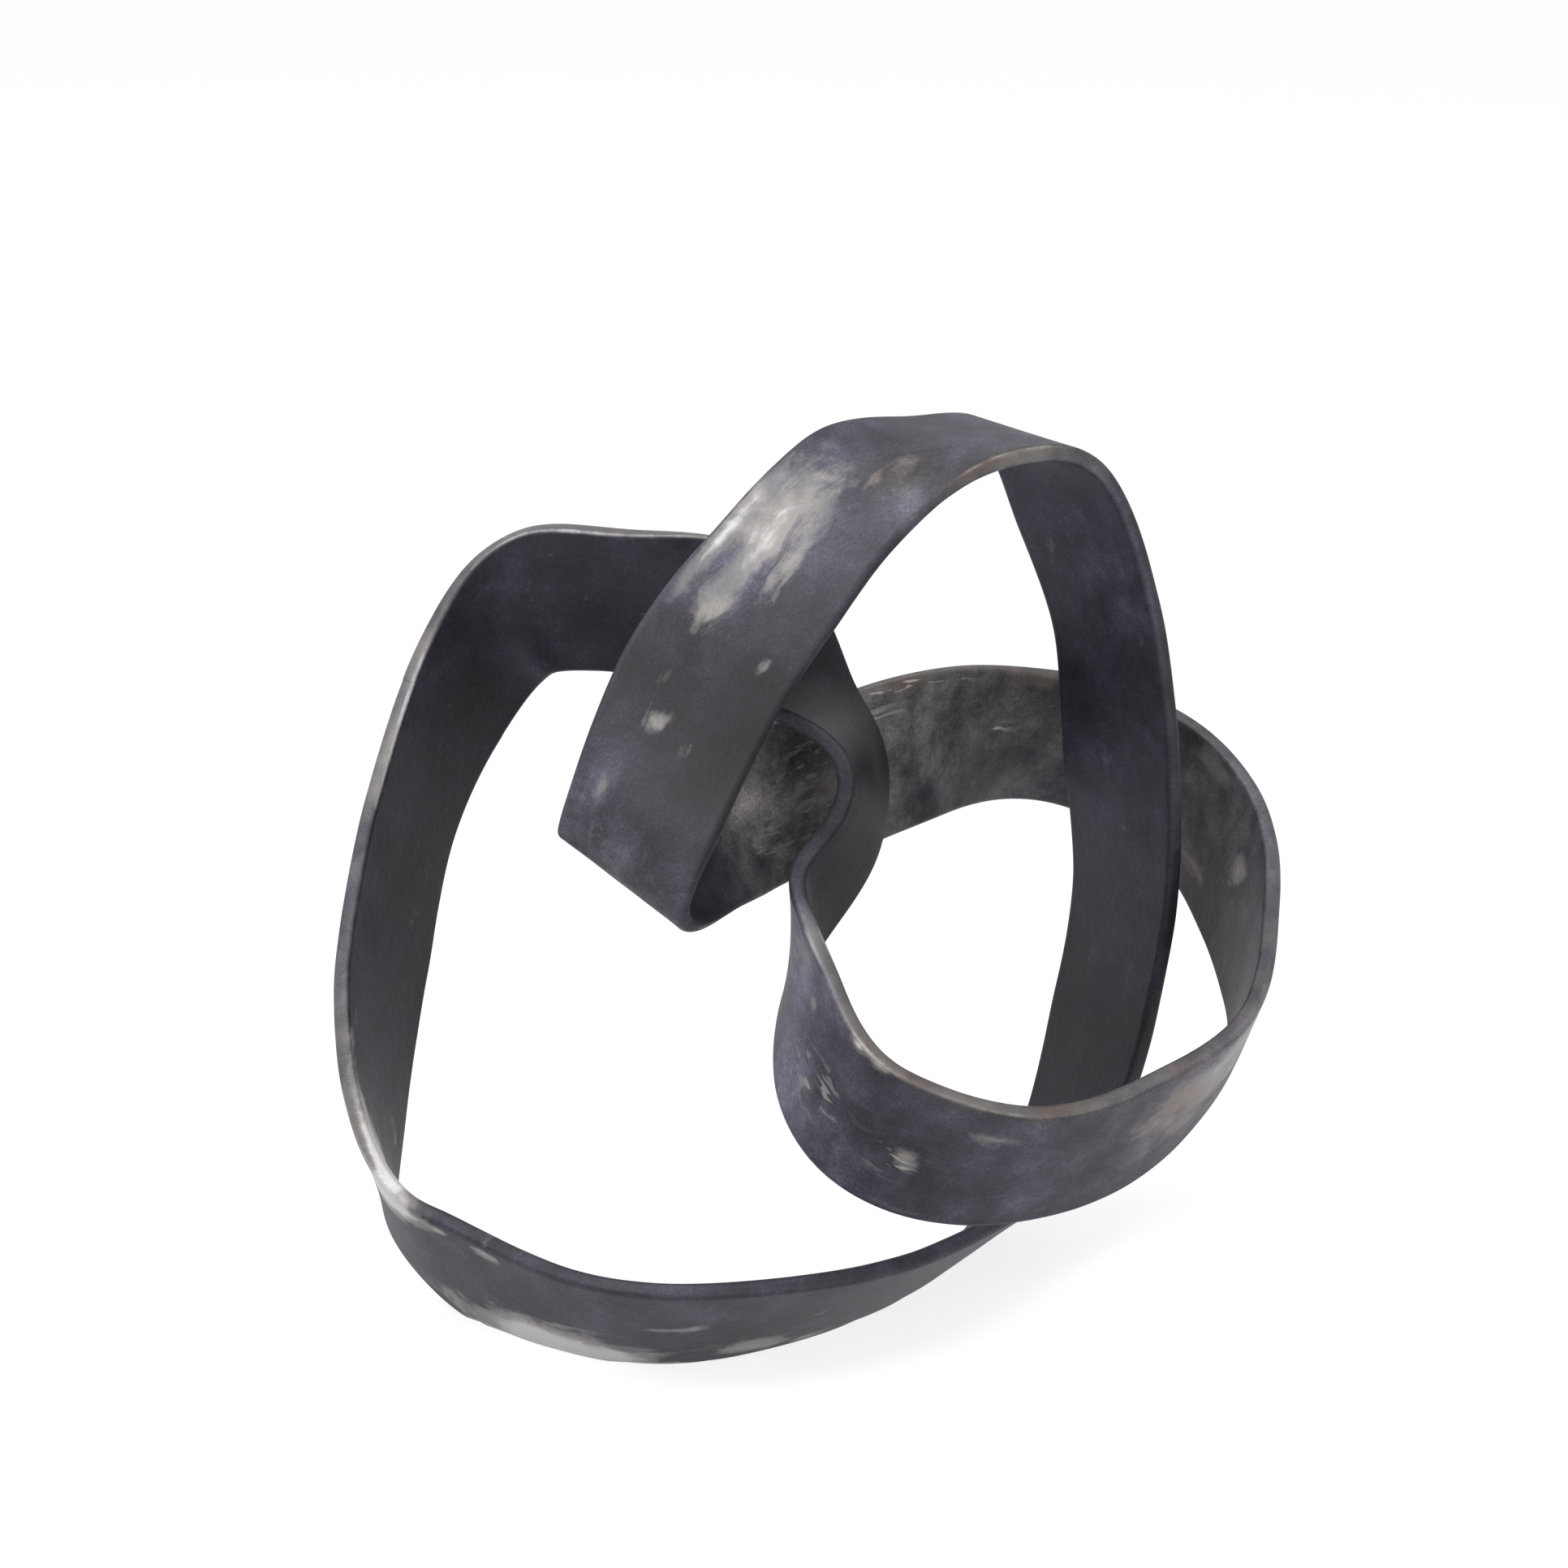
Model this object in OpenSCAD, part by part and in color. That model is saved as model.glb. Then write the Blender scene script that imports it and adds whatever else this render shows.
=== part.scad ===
// Knot sculpture of flat metal strap
// One closed band of strap that passes over and under itself in three loops:
// a wide loop on the left, a tall arch on top and a ring at the lower right.
// The band is made of formed strap pieces, butt-welded end to end, with every
// seam ground almost flush. It stands on a flat ground into the lower rim.
// Origin: middle of the footprint of the whole knot, on the floor. +Z is up.

/* [Strap] */
// Width of the strap, in mm
strap_w = 33; // [26:0.5:36]
// Thickness of the strap, in mm
strap_t = 3.6; // [2.5:0.1:5]
// Radius worn onto the four long edges, in mm
edge_r = 1.1; // [0.4:0.1:1.6]

/* [Stance] */
// How far the knot leans back on its lower rim, in degrees
lean = 18; // [14:1:24]
// How much of the lower rim is ground away to make the foot, in mm
foot_cut = 2.8; // [1.5:0.1:3.5]

/* [Welds] */
// Length of strap that a finished seam takes up, in mm
seam_len = 3; // [2:0.5:5]
// How far a finished seam stands proud of the strap, in mm
seam_proud = 0.25; // [0.1:0.05:0.6]

/* [Smoothness] */
// Cross-sections of strap between two stations
steps = 10; // [6:1:12]

/* [Hidden] */
// Stations along the middle of the band, in the order that the strap runs.
// Each is [x, back, up, rx, rback, rup] before the knot leans back, in mm:
// x to the right, back away from the front, up along the upright knot.
// The last three numbers are the way across the strap at that station.
stations = [
  [-8, -12, 31, -0.45, -0.2, -0.87],
  [-30, 1, 37, 0.05, 0.45, -0.89],
  [-50, 10, 38, 0.25, 0.45, -0.86],
  [-63, 16, 26.5, 0.56, 0.7, -0.43],
  [-75.3, 12, 0, 0.43, 0.83, -0.32],
  [-81.5, 6, -28, 0.42, 0.83, -0.28],
  [-84, -1, -53, 0.36, 0.9, -0.24],
  [-83, -5, -75, 0.12, 0.96, -0.24],
  [-77.2, -9, -89, -0.08, 0.93, -0.33],
  [-62, -15, -100, 0.1, 0.75, -0.65],
  [-37.3, -33, -107.1, 0.05, 0.83, -0.55],
  [-9, -35, -106.8, -0.22, 0.85, -0.47],
  [18, -18, -102.5, -0.5, 0.73, -0.45],
  [40.5, 12, -94, -0.58, 0.67, -0.47],
  [57.8, 35, -78.5, -0.53, 0.81, -0.15],
  [66.8, 33, -50.5, -0.52, 0.82, 0.22],
  [71.3, 25, -22.5, -0.55, 0.79, 0.26],
  [70.2, 16, 4, -0.64, 0.73, 0.21],
  [67.3, 7, 30.5, -0.62, 0.77, 0.13],
  [60.4, -1, 52.5, -0.68, 0.72, 0.12],
  [50.5, -9, 69.2, -0.62, 0.75, 0.23],
  [34, -17, 68.8, -0.5, 0.81, 0.31],
  [17.6, -27, 62.5, -0.66, 0.56, 0.48],
  [0.3, -35, 44, -0.79, 0.38, 0.46],
  [-16.2, -44, 20.5, -0.88, 0.1, 0.46],
  [-27.2, -53, -4.5, -0.82, 0.38, 0.42],
  [-31.2, -47, -18, -0.74, 0.35, 0.57],
  [-19, -32, -11.5, -0.5, -0.1, 0.86],
  [-0.5, -8, -3.5, -0.12, -0.2, 0.97],
  [26, 17, 7, -0.05, -0.34, 0.94],
  [53, 43, 10.5, 0.25, -0.55, 0.78],
  [79, 43, 2, 0.3, -0.57, 0.77],
  [93.5, 27, -16, 0.36, -0.6, 0.7],
  [96.4, 7, -36, 0.2, -0.78, 0.58],
  [92, -12, -52, 0.08, -0.92, 0.38],
  [75, -27, -67, 0.05, -0.8, 0.59],
  [50.5, -38, -75.5, 0.08, -0.73, 0.68],
  [25, -44, -71.8, 0.2, -0.58, 0.79],
  [9.2, -40, -60, 0.4, -0.68, 0.62],
  [3.8, -30, -42.5, 0.26, -0.82, 0.5],
  [4.2, -22, -26, -0.1, -0.88, 0.46],
  [13.3, -20, -11.5, -0.26, -0.94, 0.2],
  [14.9, -21, 6.5, -0.27, -0.96, -0.03],
  [3.4, -19, 18.9, -0.57, -0.8, -0.22]
];
count = len(stations);

// A smooth closed curve through every station: the spline's control points.
function wrap(i) = ((i % count) + count) % count;
spread = [for (j = [-12:12]) sqrt(3) * pow(sqrt(3) - 2, abs(j))];
controls = [for (i = [0:count - 1]) spread * [for (j = [-12:12]) stations[wrap(i + j)]]];

function blend(f) = [pow(1 - f, 3), 3*pow(f, 3) - 6*f*f + 4, -3*pow(f, 3) + 3*f*f + 3*f + 1, pow(f, 3)] / 6;
function slope(f) = [-(1 - f)*(1 - f), 3*f*f - 4*f, -3*f*f + 2*f + 1, f*f] / 2;
function near(i) = [for (k = [-1:2]) controls[wrap(i + k)]];
function pick(v, a) = [v[a], v[a + 1], v[a + 2]];
function unit(v) = v / norm(v);

// Middle, direction, way across and way through the strap, at station number s.
function spot(s) = pick(blend(s - floor(s)) * near(floor(s)), 0);
function along(s) = unit(pick(slope(s - floor(s)) * near(floor(s)), 0));
function across(s) = unit(pick(blend(s - floor(s)) * near(floor(s)), 3));
function through(s) = unit(cross(along(s), across(s)));

// Section of the strap: a rectangle with three points on each worn corner.
function section(grow) = let (a = strap_w/2 + grow, b = strap_t/2 + grow, r = edge_r + grow, k = r * (1 - sqrt(0.5)))
  [[a, r - b], [a, b - r], [a - k, b - k], [a - r, b], [r - a, b], [k - a, b - k],
   [-a, b - r], [-a, r - b], [k - a, k - b], [r - a, -b], [a - r, -b], [a - k, k - b]];

function lean_back(p) = [p[0], p[1]*cos(lean) + p[2]*sin(lean), p[2]*cos(lean) - p[1]*sin(lean)];
function ring(s, grow) = [for (q = section(grow)) lean_back(spot(s) + q[0]*across(s) + q[1]*through(s))];

// Where the whole band reaches, so that it can be set on the origin.
reach = [for (s = [0:0.1:count - 0.1]) each ring(s, 0)];
x_mid = (min([for (p = reach) p[0]]) + max([for (p = reach) p[0]])) / 2;
y_mid = (min([for (p = reach) p[1]]) + max([for (p = reach) p[1]])) / 2;
z_low = min([for (p = reach) p[2]]) + foot_cut;

// Stations at which one strap piece ends and the next begins.
seams = [3.5, 8.6, 13.7, 19.8, 24.4, 27.6, 31.2, 37.6, 42.6];
// Half of a seam, in station numbers, at seam number k.
function half_seam(k) = seam_len / 2 / norm(spot(seams[k] + 0.5) - spot(seams[k] - 0.5));

// The strap from station a to station b, with square ends.
module strap(a, b, grow = 0) {
  rows = max(2, ceil((b - a) * steps));
  rings = [for (i = [0:rows]) ring(a + (b - a) * i / rows, grow)];
  side = 12;
  walls = [for (i = [0:rows - 1], j = [0:side - 1])
    let (p = i*side + j, q = i*side + (j + 1) % side) each [[p, p + side, q + side], [p, q + side, q]]];
  caps = [[for (j = [0:side - 1]) j], [for (j = [side - 1:-1:0]) rows*side + j]];
  translate([-x_mid, -y_mid, -z_low])
    polyhedron(points = [for (r = rings) each r], faces = concat(walls, caps), convexity = 6);
}

// Strap piece number k, which runs from seam k to the next seam.
module piece(k) {
  last = (k + 1) % len(seams);
  turn = last == 0 ? count : 0;
  strap(seams[k] + half_seam(k), seams[last] + turn - half_seam(last));
}

// Finished weld at seam number k.
module seam(k) {
  strap(seams[k] - half_seam(k), seams[k] + half_seam(k), seam_proud);
}

// The lower rim is ground flat on the floor.
module ground() {
  difference() {
    children();
    translate([-150, -150, -20])
      cube([300, 300, 20]);
  }
}

module side_strap() {
  color("#4a4c55")
    piece(0);
}

module base_strap() {
  color("#555a66")
    ground()
      piece(1);
}

module riser_strap() {
  color("#45464f")
    piece(2);
}

module crown_strap() {
  color("#565b66")
    piece(3);
}

module front_strap() {
  color("#60666f")
    piece(4);
}

module back_strap() {
  color("#4a4c55")
    piece(5);
}

module ring_strap() {
  color("#505560")
    piece(6);
}

module neck_strap() {
  color("#45464f")
    piece(7);
}

module top_strap() {
  color("#4a4c55")
    piece(8);
}

side_strap();
base_strap();
riser_strap();
crown_strap();
front_strap();
back_strap();
ring_strap();
neck_strap();
top_strap();
seam(0);  // top_side_seam
seam(1);  // side_base_seam
seam(2);  // base_riser_seam
seam(3);  // riser_crown_seam
seam(4);  // crown_front_seam
seam(5);  // front_back_seam
seam(6);  // back_ring_seam
seam(7);  // ring_neck_seam
seam(8);  // neck_top_seam
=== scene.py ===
"""Straps and welds of a knotted metal sculpture, bent from straight bar and finished."""

import math

import bmesh
import bpy
import numpy as np
from bpy.props import FloatProperty, FloatVectorProperty, IntProperty, PointerProperty
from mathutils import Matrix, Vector, noise


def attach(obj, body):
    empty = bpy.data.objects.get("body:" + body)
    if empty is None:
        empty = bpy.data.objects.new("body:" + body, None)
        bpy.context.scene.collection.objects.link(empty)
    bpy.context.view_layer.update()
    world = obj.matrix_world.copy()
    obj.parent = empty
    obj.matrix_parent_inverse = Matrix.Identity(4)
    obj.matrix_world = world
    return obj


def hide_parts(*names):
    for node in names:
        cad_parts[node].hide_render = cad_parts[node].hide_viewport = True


bl_info = {
    "name": "Strap Knot",
    "version": (1, 0, 0),
    "blender": (4, 5, 0),
    "location": "View3D > Sidebar > Knot",
    "description": "Bends, welds and patinates the straps of a knot sculpture",
    "category": "Add Mesh",
}

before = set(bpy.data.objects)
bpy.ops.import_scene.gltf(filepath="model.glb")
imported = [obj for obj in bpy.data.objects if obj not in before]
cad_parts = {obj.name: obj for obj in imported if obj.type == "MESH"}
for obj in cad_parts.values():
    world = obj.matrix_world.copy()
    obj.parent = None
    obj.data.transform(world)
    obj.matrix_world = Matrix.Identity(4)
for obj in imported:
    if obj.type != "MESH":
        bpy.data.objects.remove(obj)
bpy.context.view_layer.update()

MM = 1000  # straps are bent in millimetres, and so are the lengths below unless they say metres

# The band's route: x, back and up, then the way across the strap, before the knot leans back.
STATIONS = (
    (-8, -12, 31, -0.45, -0.2, -0.87),
    (-30, 1, 37, 0.05, 0.45, -0.89),
    (-50, 10, 38, 0.25, 0.45, -0.86),
    (-63, 16, 26.5, 0.56, 0.7, -0.43),
    (-75.3, 12, 0, 0.43, 0.83, -0.32),
    (-81.5, 6, -28, 0.42, 0.83, -0.28),
    (-84, -1, -53, 0.36, 0.9, -0.24),
    (-83, -5, -75, 0.12, 0.96, -0.24),
    (-77.2, -9, -89, -0.08, 0.93, -0.33),
    (-62, -15, -100, 0.1, 0.75, -0.65),
    (-37.3, -33, -107.1, 0.05, 0.83, -0.55),
    (-9, -35, -106.8, -0.22, 0.85, -0.47),
    (18, -18, -102.5, -0.5, 0.73, -0.45),
    (40.5, 12, -94, -0.58, 0.67, -0.47),
    (57.8, 35, -78.5, -0.53, 0.81, -0.15),
    (66.8, 33, -50.5, -0.52, 0.82, 0.22),
    (71.3, 25, -22.5, -0.55, 0.79, 0.26),
    (70.2, 16, 4, -0.64, 0.73, 0.21),
    (67.3, 7, 30.5, -0.62, 0.77, 0.13),
    (60.4, -1, 52.5, -0.68, 0.72, 0.12),
    (50.5, -9, 69.2, -0.62, 0.75, 0.23),
    (34, -17, 68.8, -0.5, 0.81, 0.31),
    (17.6, -27, 62.5, -0.66, 0.56, 0.48),
    (0.3, -35, 44, -0.79, 0.38, 0.46),
    (-16.2, -44, 20.5, -0.88, 0.1, 0.46),
    (-27.2, -53, -4.5, -0.82, 0.38, 0.42),
    (-31.2, -47, -18, -0.74, 0.35, 0.57),
    (-19, -32, -11.5, -0.5, -0.1, 0.86),
    (-0.5, -8, -3.5, -0.12, -0.2, 0.97),
    (26, 17, 7, -0.05, -0.34, 0.94),
    (53, 43, 10.5, 0.25, -0.55, 0.78),
    (79, 43, 2, 0.3, -0.57, 0.77),
    (93.5, 27, -16, 0.36, -0.6, 0.7),
    (96.4, 7, -36, 0.2, -0.78, 0.58),
    (92, -12, -52, 0.08, -0.92, 0.38),
    (75, -27, -67, 0.05, -0.8, 0.59),
    (50.5, -38, -75.5, 0.08, -0.73, 0.68),
    (25, -44, -71.8, 0.2, -0.58, 0.79),
    (9.2, -40, -60, 0.4, -0.68, 0.62),
    (3.8, -30, -42.5, 0.26, -0.82, 0.5),
    (4.2, -22, -26, -0.1, -0.88, 0.46),
    (13.3, -20, -11.5, -0.26, -0.94, 0.2),
    (14.9, -21, 6.5, -0.27, -0.96, -0.03),
    (3.4, -19, 18.9, -0.57, -0.8, -0.22),
)
COUNT = len(STATIONS)
# Stations at which one strap ends and the next begins.
SEAMS = (3.5, 8.6, 13.7, 19.8, 24.4, 27.6, 31.2, 37.6, 42.6)
STRAPS = ("side_strap", "base_strap", "riser_strap", "crown_strap", "front_strap",
          "back_strap", "ring_strap", "neck_strap", "top_strap")
WELDS = ("top_side_seam", "side_base_seam", "base_riser_seam", "riser_crown_seam",
         "crown_front_seam", "front_back_seam", "back_ring_seam", "ring_neck_seam",
         "neck_top_seam")
WELD_LENGTH = 3.0   # strap that a weld takes up
WELD_PROUD = 0.01   # how far a ground weld stands out of the strap

FACES_ACROSS = 24                # faces across the bar on each side
SHARP_EDGE = math.radians(50)    # an edge that turns more than this stays crisp
UV_PER_STATION = 0.025           # metres of finish from one station to the next
BROAD_HOLLOW, DENT = 26.0, 9.0   # sizes of the hollows that forming leaves
ON_FLOOR = 0.05                  # what is lower than this was ground flat

CAMERA_AWAY = 1200      # millimetres from the camera to the knot
FOCAL_PIXELS = 7200     # focal length in pixels of the photograph
FRAME_PIXELS = 1932     # the photograph's width
SENSOR = 36.0           # the camera's sensor width, in millimetres
MIDDLE = (0, 0, 0.08)   # what the lamps face, in metres

# Marks on the finish, by face. Each is: station, place across (-1 to 1), half length in
# stations, half width across, strength. Some marks are painted light, marked where they stand.
OUTER, INNER = -1, 1
RUBBED_AND_PAINTED_LIGHT = {
    OUTER: (
        # front of the arch
        (22.6, 0.4, 0.36, 0.3, 0.95), (22.95, 0.5, 0.3, 0.26, 0.85), (23.1, 0.84, 0.42, 0.13, 2.0),
        (23.5, 0.3, 0.24, 0.26, 1.35), (21.8, -0.35, 0.28, 0.22, 0.75),
        (22.3, 0.05, 0.55, 0.35, 0.45), (23.05, 0.3, 0.2, 0.16, 0.6),
        (22.9, -0.1, 0.35, 0.12, 0.55), (22.4, 0.8, 0.5, 0.2, 0.35), (24.42, 0.22, 0.1, 0.12, 1.0),
        (24.5, -0.2, 0.08, 0.1, 0.85), (23.75, -0.55, 0.07, 0.06, 1.1), (25.1, 0.6, 0.4, 0.4, 0.4),
        # lower left corner and lower rim
        (7.65, -0.8, 0.5, 0.38, 2.6), (8.15, -0.85, 0.28, 0.14, 1.5), (8.7, -0.84, 0.12, 0.05, 1.5),
        # 9.55, 10.0, 11.15 and 11.6: painted highlight, the pale band along the lower face, put in
        #                             as rubbed metal
        (9.2, -0.8, 0.16, 0.06, 1.7), (8.8, 0.7, 0.5, 0.3, 0.7), (9.55, 0.58, 0.42, 0.36, 2.4),
        (10.0, 0.76, 0.5, 0.28, 2.1), (10.5, -0.1, 0.25, 0.06, 1.0), (11.15, 0.62, 0.3, 0.24, 1.3),
        (11.6, 0.8, 0.35, 0.14, 0.6),
        # ring and neck
        # 33.8 and 34.4: painted light on the ring's right side, put in as rubbed metal
        (33.8, 0.6, 0.4, 0.5, 1.0), (34.4, 0.3, 0.5, 0.7, 0.9), (34.9, 0.15, 0.5, 0.5, 0.6),
        (36.4, 0.5, 0.4, 0.12, 0.55), (37.0, -0.15, 0.12, 0.16, 1.1), (37.3, -0.4, 0.1, 0.12, 0.9),
        (37.6, 0.96, 0.2, 0.05, 1.6), (37.95, 0.93, 0.14, 0.08, 1.9),
        (38.15, -0.25, 0.1, 0.15, 1.0), (38.7, 0.5, 0.07, 0.08, 1.1), (39.2, 0.5, 0.4, 0.4, 0.5),
        # sides and back
        (0.6, 0.3, 0.5, 0.3, 0.7), (3.4, 0.1, 0.5, 0.3, 0.8), (5.2, -0.4, 0.5, 0.3, 0.8),
        (16.2, 0.3, 0.5, 0.3, 0.8), (18.4, -0.4, 0.5, 0.3, 0.7), (30.3, -0.3, 0.5, 0.3, 0.9),
        (32.6, 0.3, 0.5, 0.3, 0.8),
    ),
    INNER: (
        # lower left corner
        (7.45, -0.95, 0.6, 0.42, 2.7), (6.6, -0.95, 0.6, 0.14, 0.9),
        # from the fold to the ring
        (27.9, -0.4, 0.2, 0.25, 0.8), (28.2, 0.1, 0.25, 0.3, 0.75), (28.9, 0.95, 0.3, 0.08, 1.2),
        (28.9, 0.5, 0.3, 0.2, 0.55), (29.9, 0.88, 0.18, 0.12, 0.95), (31.5, 0.8, 0.22, 0.16, 1.2),
        (31.8, -0.5, 0.2, 0.12, 0.6), (32.25, 0.25, 0.12, 0.22, 1.25),
        # sides and back
        (11.5, 0.2, 0.5, 0.3, 0.7), (23.4, -0.2, 0.4, 0.3, 0.5),
    ),
}
NICKED = {
    OUTER: (
        (38.1, -0.1, 0.35, 0.3, 0.5), (37.1, -0.2, 0.2, 0.2, 0.5),
    ),
    INNER: (
        (28.1, 0.0, 0.26, 0.5, 1.1), (27.8, -0.45, 0.26, 0.3, 1.0), (28.15, 0.3, 0.1, 0.2, 1.0),
        (28.3, 0.6, 0.12, 0.12, 1.1), (28.7, 0.55, 0.2, 0.2, 0.6), (28.95, 0.94, 0.4, 0.08, 1.3),
        (29.6, 0.15, 0.12, 0.08, 1.1),
    ),
}
# Paler (above 0) or darker (below 0) stretches of patina; some are painted light and painted
# shadow, marked where they stand.
TONE_AND_PAINTED_LIGHT = {
    OUTER: (
        # front of the arch, down to the fold
        (22.0, 0.2, 1.2, 1.5, 0.2), (22.7, 0.4, 0.7, 0.5, 0.35), (23.4, -0.7, 0.6, 0.5, -0.5),
        # 24.1, 24.7 and 24.9: painted shadow, darker patina on the front strap's lower part beside
        #                      the neck
        (24.1, -0.2, 0.6, 1.6, -1.3), (24.7, -0.5, 0.3, 0.4, -0.5), (24.9, -0.9, 0.7, 0.5, -0.7),
        (24.9, 0.6, 0.3, 0.35, 0.45), (25.5, 0.3, 0.6, 1.2, 0.1), (25.6, 0.2, 0.3, 0.3, 0.35),
        (26.0, -0.2, 0.4, 1.0, 0.4),
        # lower rim and riser
        (8.9, -0.1, 0.3, 0.4, 0.25), (9.6, -0.2, 0.4, 0.3, -0.25), (10.8, -1.0, 2.2, 0.07, -0.2),
        (10.9, -0.4, 0.4, 0.25, 0.3), (12.0, 0.0, 0.9, 1.5, -0.45), (16.6, -1.0, 2.4, 0.05, -0.75),
        # ring and neck
        # 33.8 and both at 34.8: painted light, paler patina on the ring's right side
        (33.8, 0.2, 0.7, 1.4, 1.1), (34.8, 0.0, 0.9, 1.5, 0.45), (34.8, 0.3, 0.5, 0.8, 0.5),
        (37.4, 0.3, 0.7, 0.8, -0.4), (37.9, -0.6, 0.4, 0.4, 0.4), (38.6, 0.4, 0.9, 1.4, 0.6),
        (39.3, 0.0, 1.1, 1.5, 0.75), (41.4, 1.0, 1.1, 0.1, -0.35),
    ),
    INNER: (
        # wide loop
        (4.6, 0.2, 1.4, 1.2, -0.5), (10.8, -1.0, 2.2, 0.07, -0.15),
        # riser and crown
        (16.6, -1.0, 2.4, 0.05, -0.75), (17.2, 0.0, 1.2, 2.0, 0.45), (19.3, 0.0, 1.4, 2.0, 0.75),
        # from the fold to the ring, and the neck
        # 27.9: painted light, paler patina on the face that the front strap and the neck shade
        (27.9, 0.0, 0.8, 1.6, 1.85), (29.5, 0.0, 1.3, 2.0, 0.7), (31.8, 0.0, 1.2, 2.0, 0.7),
        (41.4, 1.0, 1.1, 0.08, -0.4), (41.5, 0.0, 1.5, 1.5, -0.4),
    ),
}
# Browner stretches of patina.
WARMED = {
    OUTER: (
        (1.2, -1.0, 1.4, 0.16, 0.8), (20.9, -1.0, 0.9, 0.16, 1.2), (21.8, -0.35, 0.4, 0.4, 1.2),
        (25.8, 0.0, 0.5, 1.2, 0.5), (33.6, 0.5, 1.2, 1.2, 0.6), (34.8, 0.0, 0.9, 1.0, 0.6),
        (36.4, 1.0, 1.7, 0.1, 1.1), (41.0, 0.0, 1.5, 1.5, 0.35),
    ),
    INNER: (
        (28.0, 0.0, 0.8, 1.5, 1.5), (29.4, 1.0, 1.0, 0.14, 1.0), (29.6, 0.2, 1.3, 1.5, 0.9),
        (31.9, 0.0, 1.4, 1.5, 0.7), (36.4, 1.0, 1.7, 0.1, 1.1), (42.0, 0.0, 1.2, 1.5, 0.4),
    ),
}
# Wear of the two rims: station, wear of the rim at across -1, wear of the rim at across 1.
RIM_WEAR = (
    (0, 0.8, 0.1), (2.2, 0.85, 0.1), (2.9, 0.5, 0.1), (3.3, 1.05, 0.1), (4.1, 1.0, 0.1),
    (4.5, 0.45, 0.1), (5.2, 0.45, 0.1), (6.3, 0.75, 0.1), (7.2, 1.0, 0.15), (8.0, 0.9, 0.3),
    (8.6, 0.15, 0.4), (11, 0.05, 0.4), (13.5, 0.05, 0.2), (17, 0.15, 0.1), (19.5, 0.25, 0.3),
    (20.6, 0.75, 0.4), (21.3, 0.8, 0.4), (22.0, 0.35, 0.3), (23.5, 0.1, 0.3), (26, 0.1, 0.15),
    (28.3, 0.1, 0.2), (29, 0.1, 0.5), (30.2, 0.1, 0.4), (32, 0.15, 0.45), (34.5, 0.2, 0.45),
    (35.5, 0.15, 0.6), (37.3, 0.15, 0.75), (37.9, 0.15, 0.95), (38.6, 0.15, 0.6),
    (39.2, 0.2, 0.95), (39.7, 0.15, 0.2), (43, 0.15, 0.1),
)

# The two finishes, and how strongly each kind of wear shows in them; the patches include painted
# highlight and painted light.
FINISHES = {
    "blackened strap": {"Rim Wear": 1.0, "Patch Wear And Painted Light": 1.0, "Nicks": 1.0},
    "ground weld": {"Rim Wear": 1.0, "Patch Wear And Painted Light": 1.05, "Nicks": 1.0},
}


# ---- the route of the band ----

def spline_controls():
    """Control points of the closed cubic curve that passes through every station."""
    rows = np.array(STATIONS, float)
    root = math.sqrt(3.0)
    total = np.zeros_like(rows)
    for step in range(-12, 13):
        total += root * (root - 2.0) ** abs(step) * np.roll(rows, -step, axis=0)
    return total


CONTROLS = spline_controls()


def route(s):
    """Middle, way along, way across and way through the strap at station number s."""
    i = math.floor(s)
    f = s - i
    near = CONTROLS[[(i + k) % COUNT for k in (-1, 0, 1, 2)]]
    place = np.array([(1 - f) ** 3, 3 * f ** 3 - 6 * f * f + 4,
                      -3 * f ** 3 + 3 * f * f + 3 * f + 1, f ** 3]) / 6
    speed = np.array([-(1 - f) ** 2, 3 * f * f - 4 * f, -3 * f * f + 2 * f + 1, f * f]) / 2
    row = place @ near
    along = (speed @ near)[:3]
    along = along / np.linalg.norm(along)
    across = row[3:] / np.linalg.norm(row[3:])
    through = np.cross(along, across)
    return row[:3], along, across, through / np.linalg.norm(through)


def lean_back(p, lean):
    """Turns a point of the upright knot to the way it stands."""
    c, s = math.cos(lean), math.sin(lean)
    return np.array((p[0], p[1] * c + p[2] * s, p[2] * c - p[1] * s))


class KnotProps(bpy.types.PropertyGroup):
    width: FloatProperty(
        name="Strap width", description="Width of the flat strap",
        default=0.033, min=0.02, max=0.05, unit="LENGTH")
    thickness: FloatProperty(
        name="Strap thickness", description="Thickness of the flat strap",
        default=0.0036, min=0.002, max=0.006, unit="LENGTH")
    edge: FloatProperty(
        name="Edge radius", description="Radius worn onto the long edges",
        default=0.0011, min=0.0003, max=0.0016, unit="LENGTH")
    lean: FloatProperty(
        name="Lean", description="How far the knot leans back on its lower rim",
        default=math.radians(18), subtype="ANGLE")
    foot: FloatProperty(
        name="Ground foot", description="How much of the lower rim is ground away",
        default=0.0028, unit="LENGTH")
    hammer: FloatProperty(
        name="Hammering", description="Depth of the hollows that forming left in the faces",
        default=0.00022, unit="LENGTH")
    ripple: FloatProperty(
        name="Edge ripple", description="How far the long edges wander",
        default=0.00035, unit="LENGTH")
    detail: IntProperty(
        name="Rows per station", description="Cross-sections between two stations",
        default=22, min=6, max=40)


def tint(name, description, red, green, blue):
    """A colour that the user can change."""
    return FloatVectorProperty(name=name, description=description, default=(red, green, blue),
                               size=3, subtype="COLOR", min=0, max=1)


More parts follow.
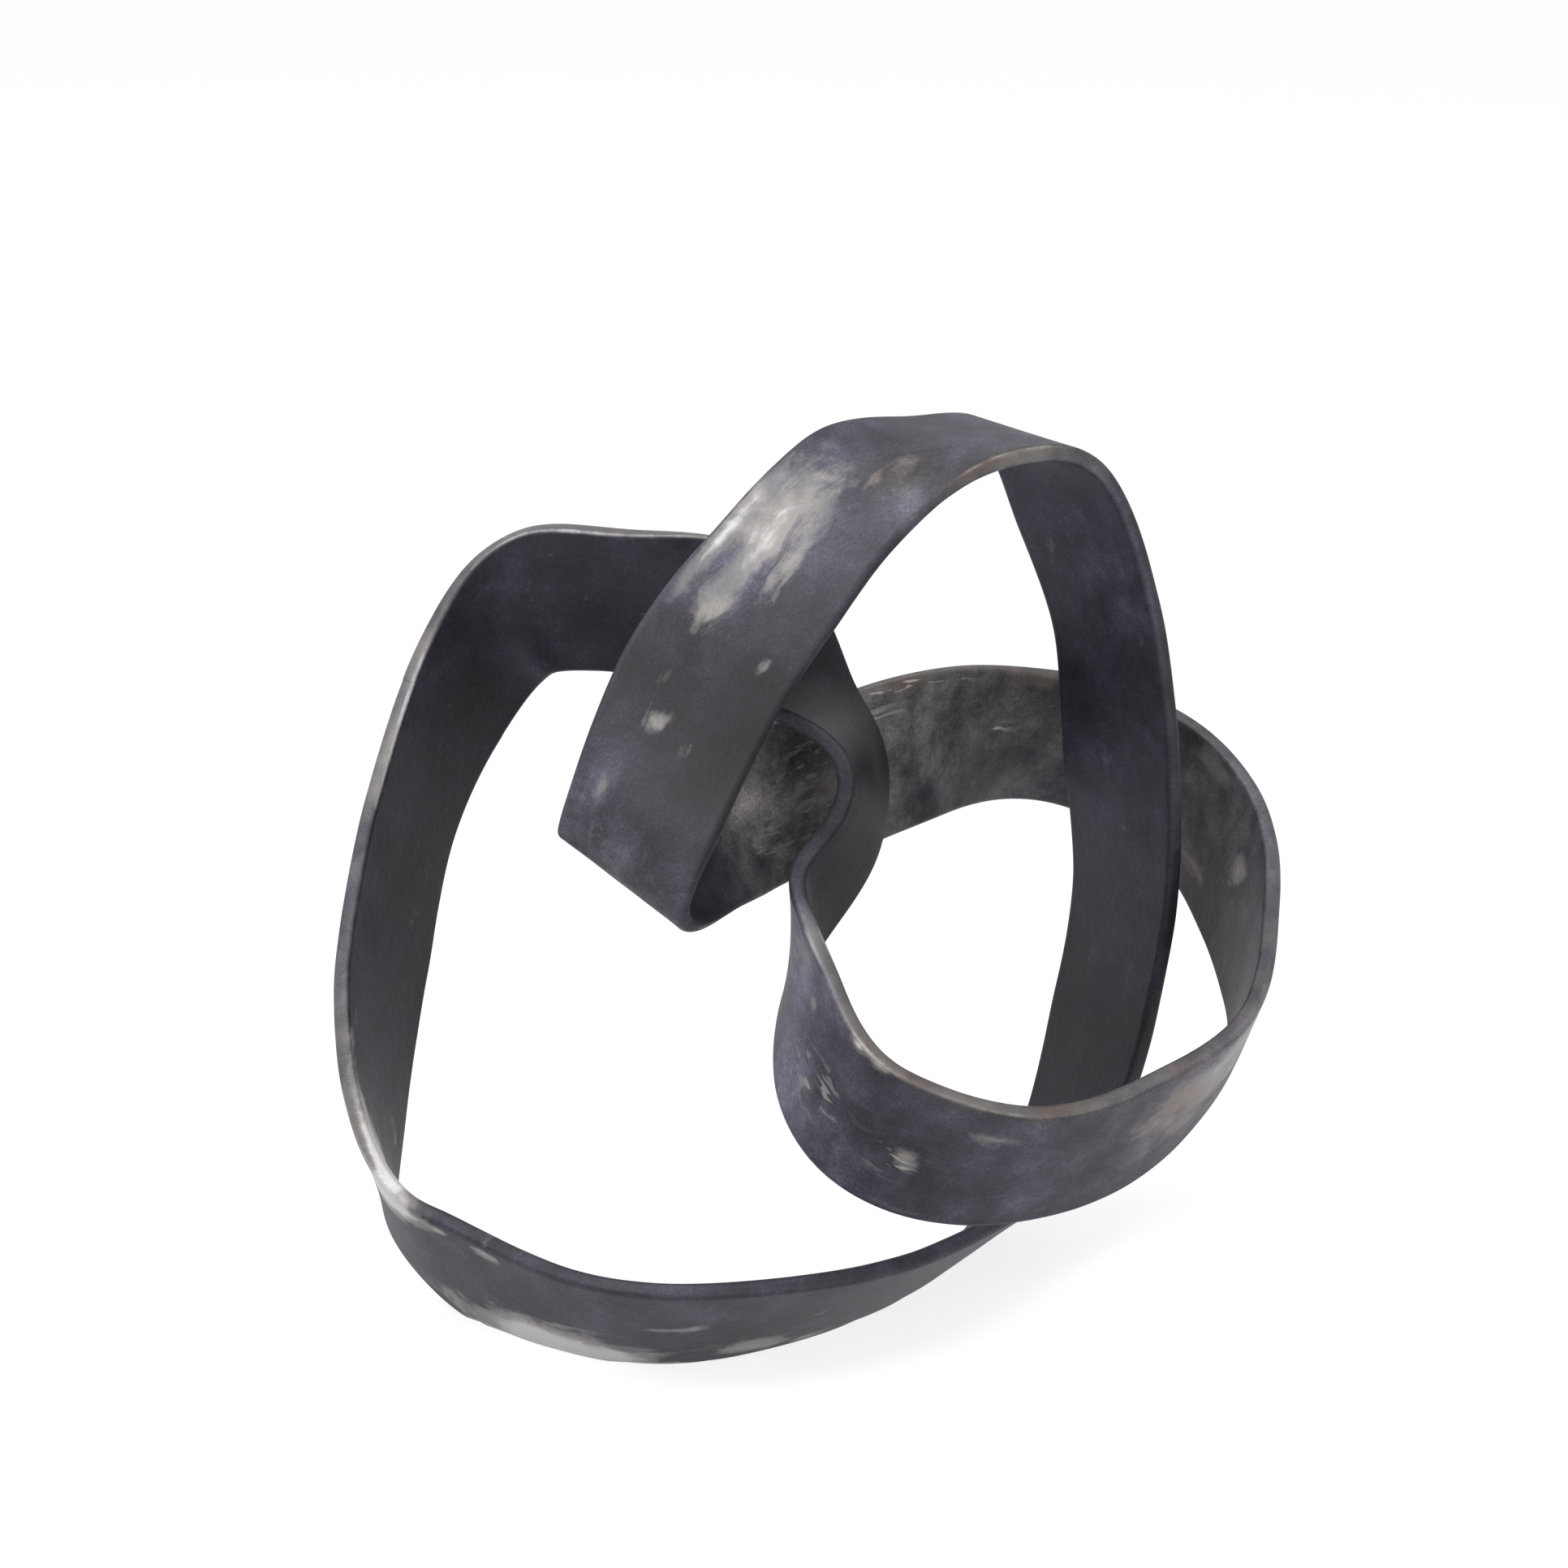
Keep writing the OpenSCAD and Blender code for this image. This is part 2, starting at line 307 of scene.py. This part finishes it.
class FinishProps(bpy.types.PropertyGroup):
    # The inner face of each loop is coloured darker than the outer face.
    inner: tint("Inner patina", "Darker inner face", 0.015, 0.014, 0.022)
    outer: tint("Outer patina", "Blue-grey outer face", 0.0365, 0.035, 0.0485)
    brown: tint("Brown patina", "Browner stretches of the patina", 0.04, 0.037, 0.036)
    # The rubbed and bright metal colours also paint the highlight along the lower face and the
    # light on the ring's right side.
    rubbed: tint("Rubbed metal", "Where the patina is rubbed through", 0.195, 0.18, 0.17)
    dull: tint("Dull metal", "Greyer clouds in the rubbed metal", 0.11, 0.105, 0.11)
    bright: tint("Bright metal", "Where the metal is rubbed bright", 0.46, 0.45, 0.44)
    nick: tint("Nicks", "Bare metal in the nicks", 0.5, 0.47, 0.43)
    rust: tint("Warm oxide", "Brown tint left in the worn places", 0.15, 0.105, 0.09)
    ground: tint("Ground metal", "Bare metal of the flat that it stands on", 0.42, 0.42, 0.43)
    contrast: FloatProperty(
        name="Clouds", description="How strongly the patina's clouds show",
        default=0.5, min=0, max=1)


class StageProps(bpy.types.PropertyGroup):
    key: FloatProperty(
        name="Key light", description="Power of the large soft lamp above",
        default=9.0, min=0, unit="POWER")
    fill: FloatProperty(
        name="Fill light", description="Power of the soft lamp beside the camera",
        default=5.0, min=0, unit="POWER")
    sky: FloatProperty(
        name="Surroundings", description="Strength of the pale surroundings",
        default=0.55, min=0)


# ---- bending bar into straps ----

def floor_shift(props):
    """The move that puts the footprint's middle on the origin and the foot on the floor."""
    w, t, r = props.width * MM / 2, props.thickness * MM / 2, props.edge * MM
    k = r * (1 - math.sqrt(0.5))
    corners = [(x, y) for x in (-w, w) for y in (-(t - r), t - r)]
    corners += [(x, y) for x in (k - w, w - k) for y in (k - t, t - k)]
    corners += [(x, y) for x in (r - w, w - r) for y in (-t, t)]
    points = []
    for step in range(COUNT * 10):
        mid, _, across, through = route(step / 10)
        points += [lean_back(mid + x * across + y * through, props.lean) for x, y in corners]
    points = np.array(points)
    low, high = points.min(0), points.max(0)
    return np.array((-(low[0] + high[0]) / 2, -(low[1] + high[1]) / 2, -low[2] - props.foot * MM))


def half_seam(k):
    """Half of a finished weld, in station numbers."""
    gap = np.linalg.norm(route(SEAMS[k] + 0.5)[0] - route(SEAMS[k] - 0.5)[0])
    return WELD_LENGTH / 2 / gap


def straight_bar(bm, first, last, props, proud=0.0):
    """A straight bar: x runs in station numbers, y across and z through it in millimetres."""
    rows = max(4, round((last - first) * props.detail))
    bmesh.ops.create_grid(bm, x_segments=rows, y_segments=FACES_ACROSS, size=0.5)
    half_w = props.width * MM / 2 + proud
    half_t = props.thickness * MM / 2 + proud
    bmesh.ops.scale(bm, verts=bm.verts, vec=(last - first, 2 * half_w, 1))
    bmesh.ops.solidify(bm, geom=bm.faces[:], thickness=2 * half_t)
    zs = [v.co.z for v in bm.verts]
    bmesh.ops.translate(bm, verts=bm.verts,
                        vec=((first + last) / 2, 0, -(min(zs) + max(zs)) / 2))
    long_edges = [e for e in bm.edges
                  if all(abs(abs(v.co.y) - half_w) < 0.01 for v in e.verts)
                  and abs(e.verts[0].co.x - e.verts[1].co.x) > 1e-4]
    bmesh.ops.bevel(bm, geom=long_edges, offset=props.edge * MM + proud, offset_type="OFFSET",
                    segments=4, profile=0.5, affect="EDGES", material=-1)
    return half_w, half_t


def hammered(point, props):
    """How far forming has pushed the face in or out at this place, in millimetres."""
    p = Vector(point)
    broad = noise.noise(p / BROAD_HOLLOW)
    dents = noise.noise(p / DENT + Vector((7, 3, 1)))
    return props.hammer * MM * (broad + 0.45 * dents)


def wander(s, edge, props):
    """How far the long edge on this side strays at station number s, in millimetres."""
    return props.ripple * MM * noise.noise(Vector((s * 1.7, 4.0 * edge, 0)))


def marks(table, face, station, across):
    """How strongly the marks of a table show at each vertex."""
    total = np.zeros(len(station))
    for side, rows in table.items():
        for at, off, long, wide, strength in rows:
            gap = (station - at + COUNT / 2) % COUNT - COUNT / 2
            spot = np.exp(-(gap / long) ** 2 - ((across - off) / wide) ** 2)
            total += strength * (face == side) * spot
    return total


def rim_wear(station, across):
    """Wear of the nearer rim at each vertex."""
    rows = np.array(RIM_WEAR)
    low, high = (np.interp(station % COUNT, rows[:, 0], rows[:, k], period=COUNT) for k in (1, 2))
    return np.where(across < 0, low, high)


def finish_notes(bar, half_w, half_t):
    """What the finish needs to know of each vertex of the straight bar."""
    station, across = bar[:, 0], bar[:, 1] / half_w
    face = np.where(bar[:, 2] > 0, INNER, OUTER)
    edge_in = half_w - abs(bar[:, 1])
    face_in = half_t - abs(bar[:, 2])
    wear = rim_wear(station, across)
    return {
        # full on the rim itself, gone 1.2 mm in from it
        "rim": np.clip(1.3 - edge_in / 0.9, 0, 1) * wear,
        # only where the edge is rounded over
        "corner": np.clip((1.1 - edge_in - face_in) / 0.45, 0, 1) * wear,
        # the rims take the outer tone
        "inner": np.clip((bar[:, 2] - 0.5 * half_t) / (0.4 * half_t), 0, 1),
        "rubbed": marks(RUBBED_AND_PAINTED_LIGHT, face, station, across),
        "nicked": marks(NICKED, face, station, across),
        "tone_and_painted_light": marks(TONE_AND_PAINTED_LIGHT, face, station, across),
        "warmed": marks(WARMED, face, station, across),
        "foot": np.zeros(len(bar)),
    }


def bend(bm, half_w, half_t, props, shift):
    """Bends the straight bar along the route and keeps the finish's notes on it."""
    notes = finish_notes(np.array([v.co for v in bm.verts]), half_w, half_t)
    layers = {name: bm.verts.layers.float.new(name) for name in notes}
    uv = bm.loops.layers.uv.new("strap")
    places, spots = {}, {}
    for i, v in enumerate(bm.verts):
        s, y, z = v.co
        places[v] = (s * UV_PER_STATION, y / MM)
        key = round(s, 5)
        if key not in spots:
            spots[key] = route(s)
        mid, _, across, through = spots[key]
        edge_in = half_w - abs(y)
        y += wander(s, 1 if y > 0 else -1, props) * y / half_w
        if abs(z) > 0.5:  # on a face, not in the middle of the rim
            flat = mid + y * across + z * through
            z += hammered(flat, props) * min(1, 0.4 + edge_in / 4)
        place = lean_back(mid + y * across + z * through, props.lean) + shift
        notes["foot"][i] = 1.0 if place[2] <= ON_FLOOR else 0.0
        place[2] = max(place[2], 0.0)
        v.co = place / MM
        for name, layer in layers.items():
            v[layer] = notes[name][i]
    for corner in (loop for face in bm.faces for loop in face.loops):
        corner[uv].uv = places[corner.vert]


def as_object(bm, name, material):
    """Makes an object of the bmesh and puts it in the scene."""
    mesh = bpy.data.meshes.new(name)
    bm.to_mesh(mesh)
    bm.free()
    mesh.materials.append(material)
    made = bpy.data.objects.new(name, mesh)
    bpy.context.scene.collection.objects.link(made)
    return made


def finish_piece(bm, name, node, material):
    """Closes the piece's mesh and hands it to the frame in place of its CAD node."""
    bmesh.ops.recalc_face_normals(bm, faces=bm.faces[:])
    for face in bm.faces:
        face.smooth = True
    for edge in bm.edges:
        edge.smooth = edge.calc_face_angle(0) < SHARP_EDGE
    piece = as_object(bm, name, material)
    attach(piece, "root")
    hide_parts(node)


# ---- the finish ----

class Tree:
    """Adds nodes to a node tree and joins them."""

    def __init__(self, tree):
        self.tree = tree

    def add(self, kind, inputs=None, **settings):
        node = self.tree.nodes.new(kind)
        for key, value in settings.items():
            setattr(node, key, value)
        for key, value in (inputs or {}).items():
            socket = node.inputs[key]
            if isinstance(value, bpy.types.NodeSocket):
                self.join(value, socket)
            else:
                socket.default_value = value
        return node

    def join(self, value, socket):
        self.tree.links.new(value, socket)

    def math(self, operation, a, b, clamp=False):
        node = self.add("ShaderNodeMath", {0: a, 1: b}, operation=operation, use_clamp=clamp)
        return node.outputs[0]

    def centred(self, value, strength=1.0):
        """A noise moved from around a half to around zero, at this strength."""
        around = self.math("SUBTRACT", value, 0.5)
        return around if strength == 1.0 else self.math("MULTIPLY", around, strength)

    def mix(self, factor, a, b):
        return self.add("ShaderNodeMix", {0: factor, 6: a, 7: b}, data_type="RGBA").outputs[2]

    def blend(self, factor, a, b):
        return self.add("ShaderNodeMix", {0: factor, 2: a, 3: b}, data_type="FLOAT").outputs[0]

    def ramp(self, value, low, high):
        """0 below low, 1 above high and a smooth step between."""
        node = self.add("ShaderNodeMapRange", {0: value, 1: low, 2: high},
                        interpolation_type="SMOOTHSTEP")
        return node.outputs[0]

    def noise(self, vector, scale, detail, rough, warp=0.0):
        node = self.add("ShaderNodeTexNoise", {"Vector": vector, "Scale": scale, "Detail": detail,
                                               "Roughness": rough, "Distortion": warp})
        return node.outputs["Fac"]

    def place(self):
        return self.add("ShaderNodeTexCoord").outputs["Object"]

    def strap(self, along, across):
        """The strap's own UV map, stretched along it."""
        uv = self.add("ShaderNodeUVMap", uv_map="strap").outputs[0]
        return self.add("ShaderNodeMapping", {"Vector": uv, "Scale": (along, across, 1)}).outputs[0]

    def note(self, name):
        """A note that bending left on the vertices."""
        node = self.add("ShaderNodeAttribute", attribute_name=name, attribute_type="GEOMETRY")
        return node.outputs["Fac"]


def empty_tree(owner):
    """The cleared node tree of a material or a world."""
    owner.use_nodes = True
    owner.node_tree.nodes.clear()
    return Tree(owner.node_tree)


def new_group(name, inputs, outputs):
    """A shader node group with named sockets: its tree, and where it takes and gives values."""
    group = bpy.data.node_groups.new(name, "ShaderNodeTree")
    for label, kind, value in inputs:
        socket = group.interface.new_socket(name=label, in_out="INPUT",
                                            socket_type="NodeSocket" + kind)
        socket.default_value = value
    for label, kind in outputs:
        group.interface.new_socket(name=label, in_out="OUTPUT", socket_type="NodeSocket" + kind)
    tree = Tree(group)
    return tree, tree.add("NodeGroupInput").outputs, tree.add("NodeGroupOutput").inputs


def patina_group():
    """Cloudy blue-black patina: a colour, a roughness and a height."""
    t, use, give = new_group(
        "Forge Patina",
        [("Inner", "Color", (0.03, 0.03, 0.04, 1)), ("Outer", "Color", (0.08, 0.085, 0.11, 1)),
         ("Brown", "Color", (0.08, 0.07, 0.06, 1)), ("Contrast", "Float", 0.5)],
        [("Color", "Color"), ("Roughness", "Float"), ("Height", "Float")])
    place = t.place()
    broad = t.noise(place, scale=38, detail=3, rough=0.55, warp=0.2)
    cloud = t.noise(place, scale=110, detail=5, rough=0.62, warp=0.2)
    grain = t.noise(place, scale=520, detail=3, rough=0.7)
    fine = t.noise(place, scale=1900, detail=2, rough=0.6)

    base = t.mix(t.note("inner"), use["Outer"], use["Inner"])
    brown = t.math("MULTIPLY", t.note("warmed"), t.ramp(cloud, 0.15, 0.6), clamp=True)
    base = t.mix(brown, base, use["Brown"])
    clouds = t.math("ADD", t.centred(broad), t.centred(cloud, 1.2))
    clouds = t.math("MULTIPLY", clouds, t.math("MULTIPLY", use["Contrast"], 7.0))
    speckle = t.math("ADD", t.centred(grain, 1.1), t.centred(fine, 2.4))
    # The tone note pales and darkens the colour; parts of it are painted light and painted shadow.
    level = t.math("ADD", t.math("ADD", clouds, speckle), t.math("MULTIPLY", t.note("tone_and_painted_light"), 1.6))
    gain = t.math("POWER", 2.0, level)
    color = t.add("ShaderNodeVectorMath", {0: base, "Scale": gain}, operation="SCALE")
    t.join(color.outputs[0], give["Color"])

    rough = t.math("ADD", 0.4, t.math("MULTIPLY", cloud, 0.2))
    t.join(t.math("ADD", rough, t.math("MULTIPLY", grain, 0.12)), give["Roughness"])
    relief = t.math("ADD", t.math("MULTIPLY", grain, 0.6), t.math("MULTIPLY", cloud, 0.8))
    t.join(t.math("ADD", relief, t.math("MULTIPLY", fine, 0.22)), give["Height"])


def wear_group():
    """Where the patina is rubbed through, with painted highlight and painted light among the
    patches: rims, listed patches, nicks and the foot.
    """
    t, use, give = new_group(
        "Rubbed Wear And Painted Light",
        [("Rim Wear", "Float", 1.0), ("Patch Wear And Painted Light", "Float", 1.0), ("Nicks", "Float", 1.0)],
        [("Rubbed", "Float"), ("Bright", "Float"), ("Mottle", "Float"), ("Nicked", "Float"),
         ("Warm", "Float"), ("Ground", "Float")])
    place = t.place()
    broken = t.centred(t.noise(place, scale=170, detail=4, rough=0.6, warp=0.3))
    patchy = t.centred(t.noise(place, scale=100, detail=7, rough=0.7, warp=0.15))
    smear = t.centred(t.noise(t.strap(75, 190), scale=1.0, detail=6, rough=0.68, warp=0.7))
    ragged = t.math("ADD", t.math("MULTIPLY", patchy, 1.5), t.math("MULTIPLY", smear, 2.2))

    def worn(name, strength, raggedness):
        return t.math("ADD", t.math("MULTIPLY", t.note(name), use[strength]), raggedness)

    rim = worn("rim", "Rim Wear", t.math("MULTIPLY", broken, 0.8))
    corner = worn("corner", "Rim Wear", t.math("MULTIPLY", patchy, 1.4))
    # The patches carry the painted highlight along the lower face and the painted light on the
    # ring's right side.
    patch = worn("rubbed", "Patch Wear And Painted Light", ragged)
    t.join(t.math("MAXIMUM", t.math("MULTIPLY", t.ramp(rim, 0.15, 1.0), 0.75),
                  t.math("MULTIPLY", t.ramp(patch, 0.3, 1.0), 0.92)), give["Rubbed"])
    t.join(t.math("MAXIMUM", t.math("MULTIPLY", t.ramp(corner, 0.6, 1.2), 0.7),
                  t.ramp(patch, 1.1, 2.1)), give["Bright"])
    mottle = t.noise(place, scale=75, detail=4, rough=0.6, warp=0.4)
    t.join(t.ramp(mottle, 0.4, 0.66), give["Mottle"])

    dashes = t.noise(t.strap(150, 640), scale=1.0, detail=2, rough=0.5, warp=0.35)
    dashes = t.math("ADD", dashes, t.math("MULTIPLY", broken, 0.3))
    where = t.math("MULTIPLY", t.note("nicked"), use["Nicks"], clamp=True)
    t.join(t.math("MULTIPLY", t.ramp(dashes, 0.57, 0.62), where), give["Nicked"])

    stain = t.noise(place, scale=90, detail=3, rough=0.5, warp=0.2)
    t.join(t.math("MULTIPLY", t.note("warmed"), t.ramp(stain, 0.42, 0.65)), give["Warm"])
    t.join(t.note("foot"), give["Ground"])


def strap_material(props, name):
    """Blackened strap: patina, rubbed rims and patches, some patches painted highlight and painted
    light, nicks and the bare ground foot.
    """
    material = bpy.data.materials.new(name)
    t = empty_tree(material)

    def color_of(key):
        return (*getattr(props, key), 1)

    patina = t.add("ShaderNodeGroup", node_tree=bpy.data.node_groups["Forge Patina"])
    for socket in ("Inner", "Outer", "Brown"):
        patina.inputs[socket].default_value = color_of(socket.lower())
    patina.inputs["Contrast"].default_value = props.contrast
    wear = t.add("ShaderNodeGroup", node_tree=bpy.data.node_groups["Rubbed Wear And Painted Light"])
    for socket, strength in FINISHES[name].items():
        wear.inputs[socket].default_value = strength

    metal = t.mix(wear.outputs["Mottle"], color_of("rubbed"), color_of("dull"))
    metal = t.mix(wear.outputs["Warm"], metal, color_of("rust"))
    # The rubbed and bright mixes also lay in the painted highlight and painted light of the
    # patches.
    color = t.mix(wear.outputs["Rubbed"], patina.outputs["Color"], metal)
    color = t.mix(wear.outputs["Bright"], color, color_of("bright"))
    color = t.mix(wear.outputs["Nicked"], color, color_of("nick"))
    color = t.mix(wear.outputs["Ground"], color, color_of("ground"))
    worn = t.math("MAXIMUM", wear.outputs["Rubbed"], wear.outputs["Nicked"])
    rough = t.blend(worn, patina.outputs["Roughness"], 0.36)
    relief = t.add("ShaderNodeBump", {"Height": patina.outputs["Height"],
                                      "Strength": 0.4, "Distance": 0.0005})
    nicks = t.add("ShaderNodeBump", {"Height": wear.outputs["Nicked"],
                                     "Normal": relief.outputs[0],
                                     "Strength": 0.5, "Distance": 0.0003})
    shader = t.add("ShaderNodeBsdfPrincipled", {
        "Base Color": color, "Roughness": rough, "Metallic": 0.25,
        "Specular IOR Level": 0.4, "Normal": nicks.outputs[0]})
    t.add("ShaderNodeOutputMaterial", {"Surface": shader.outputs[0]})
    return material


def finish_material(props, name):
    """The named finish, made once."""
    if "Forge Patina" not in bpy.data.node_groups:
        patina_group()
        wear_group()
    return bpy.data.materials.get(name) or strap_material(props, name)


# ---- operators ----

class KNOT_OT_straps(bpy.types.Operator):
    """Bends the nine strap pieces"""
    bl_idname = "knot.straps"
    bl_label = "Bend straps"

    def execute(self, context):
        props = context.scene.knot
        shift = floor_shift(props)
        material = finish_material(context.scene.knot_finish, "blackened strap")
        for k, node in enumerate(STRAPS):
            after = (k + 1) % len(SEAMS)
            turn = COUNT if after == 0 else 0
            bm = bmesh.new()
            size = straight_bar(bm, SEAMS[k] + half_seam(k),
                                SEAMS[after] + turn - half_seam(after), props)
            bend(bm, *size, props, shift)
            finish_piece(bm, "bent_" + node, node, material)
        return {"FINISHED"}


class KNOT_OT_welds(bpy.types.Operator):
    """Lays the finished weld between each pair of straps"""
    bl_idname = "knot.welds"
    bl_label = "Lay welds"

    def execute(self, context):
        props = context.scene.knot
        shift = floor_shift(props)
        material = finish_material(context.scene.knot_finish, "ground weld")
        for k, node in enumerate(WELDS):
            bm = bmesh.new()
            size = straight_bar(bm, SEAMS[k] - half_seam(k), SEAMS[k] + half_seam(k), props,
                                WELD_PROUD)
            bend(bm, *size, props, shift)
            finish_piece(bm, "ground_" + node, node, material)
        return {"FINISHED"}


def lamp(name, place, size, power):
    """A square soft lamp that faces the middle of the knot."""
    light = bpy.data.lights.new(name, "AREA")
    light.shape = "SQUARE"
    light.size = size
    light.energy = power
    holder = bpy.data.objects.new(name, light)
    holder.location = place
    holder.rotation_euler = (Vector(MIDDLE) - Vector(place)).to_track_quat("-Z", "Y").to_euler()
    bpy.context.scene.collection.objects.link(holder)


class KNOT_OT_stage(bpy.types.Operator):
    """Sets the floor, lamps, surroundings and camera"""
    bl_idname = "knot.stage"
    bl_label = "Set the stage"

    def execute(self, context):
        scene = context.scene
        knot, stage = scene.knot, scene.knot_stage
        bm = bmesh.new()
        bmesh.ops.create_grid(bm, x_segments=1, y_segments=1, size=6.0)
        bmesh.ops.translate(bm, verts=bm.verts, vec=(0, 0, -0.00002))  # just under the foot
        as_object(bm, "floor", floor_material())
        surroundings(scene, stage.sky)
        lamp("key", (-0.35, -0.25, 0.9), 0.9, stage.key)
        lamp("fill", (0.5, -1.0, 0.5), 1.0, stage.fill)
        lens = bpy.data.cameras.new("camera")
        lens.sensor_width = SENSOR
        lens.lens = SENSOR * FOCAL_PIXELS / FRAME_PIXELS
        lens.clip_end = 50
        camera = bpy.data.objects.new("camera", lens)
        camera.location = (lean_back((0, -CAMERA_AWAY, 0), knot.lean) + floor_shift(knot)) / MM
        camera.rotation_euler = (math.pi / 2 - knot.lean, 0, 0)
        scene.collection.objects.link(camera)
        scene.camera = camera
        scene.view_settings.view_transform = "Standard"
        return {"FINISHED"}


def seen_straight(t):
    """1 where the camera, a reflection or a see-through surface looks at it."""
    path = t.add("ShaderNodeLightPath").outputs
    return t.math("MAXIMUM", path["Is Camera Ray"],
                  t.math("MAXIMUM", path["Is Glossy Ray"], path["Is Transmission Ray"]))


def floor_material():
    """White to the camera and to reflections, pale to everything else, with the shadow kept."""
    material = bpy.data.materials.new("pale floor")
    t = empty_tree(material)
    pale = t.add("ShaderNodeBsdfDiffuse", {"Color": (0.8, 0.8, 0.8, 1)})
    soft = t.add("ShaderNodeBsdfDiffuse", {"Color": (0.3, 0.3, 0.3, 1)})
    glow = t.add("ShaderNodeEmission", {"Color": (1, 1, 1, 1), "Strength": 0.8})
    white = t.add("ShaderNodeAddShader", {0: soft.outputs[0], 1: glow.outputs[0]})
    both = t.add("ShaderNodeMixShader", {0: seen_straight(t), 1: pale.outputs[0],
                                         2: white.outputs[0]})
    t.add("ShaderNodeOutputMaterial", {"Surface": both.outputs[0]})
    return material


def surroundings(scene, strength):
    """Pale even surroundings that look white straight on and in reflections."""
    world = bpy.data.worlds.new("surroundings")
    scene.world = world
    t = empty_tree(world)
    soft = t.add("ShaderNodeBackground", {"Color": (0.93, 0.96, 1, 1), "Strength": strength})
    white = t.add("ShaderNodeBackground", {"Color": (1, 1, 1, 1), "Strength": 1.0})
    both = t.add("ShaderNodeMixShader", {0: seen_straight(t), 1: soft.outputs[0],
                                         2: white.outputs[0]})
    t.add("ShaderNodeOutputWorld", {"Surface": both.outputs[0]})


class KNOT_PT_panel(bpy.types.Panel):
    """Sizes, colours and steps of the knot"""
    bl_idname = "KNOT_PT_panel"
    bl_label = "Strap Knot"
    bl_space_type = "VIEW_3D"
    bl_region_type = "UI"
    bl_category = "Knot"

    def draw(self, context):
        layout = self.layout
        scene = context.scene
        for group in (scene.knot, scene.knot_finish, scene.knot_stage):
            box = layout.box()
            for name in type(group).__annotations__:
                box.prop(group, name)
        for operator in (KNOT_OT_straps, KNOT_OT_welds, KNOT_OT_stage):
            layout.operator(operator.bl_idname)


CLASSES = (KnotProps, FinishProps, StageProps, KNOT_OT_straps, KNOT_OT_welds, KNOT_OT_stage,
           KNOT_PT_panel)


def register():
    for cls in CLASSES:
        bpy.utils.register_class(cls)
    bpy.types.Scene.knot = PointerProperty(type=KnotProps)
    bpy.types.Scene.knot_finish = PointerProperty(type=FinishProps)
    bpy.types.Scene.knot_stage = PointerProperty(type=StageProps)


def unregister():
    del bpy.types.Scene.knot_stage
    del bpy.types.Scene.knot_finish
    del bpy.types.Scene.knot
    for cls in reversed(CLASSES):
        bpy.utils.unregister_class(cls)


def main():
    register()
    bpy.ops.knot.stage()
    bpy.ops.knot.straps()
    bpy.ops.knot.welds()


if __name__ == "__main__":
    main()
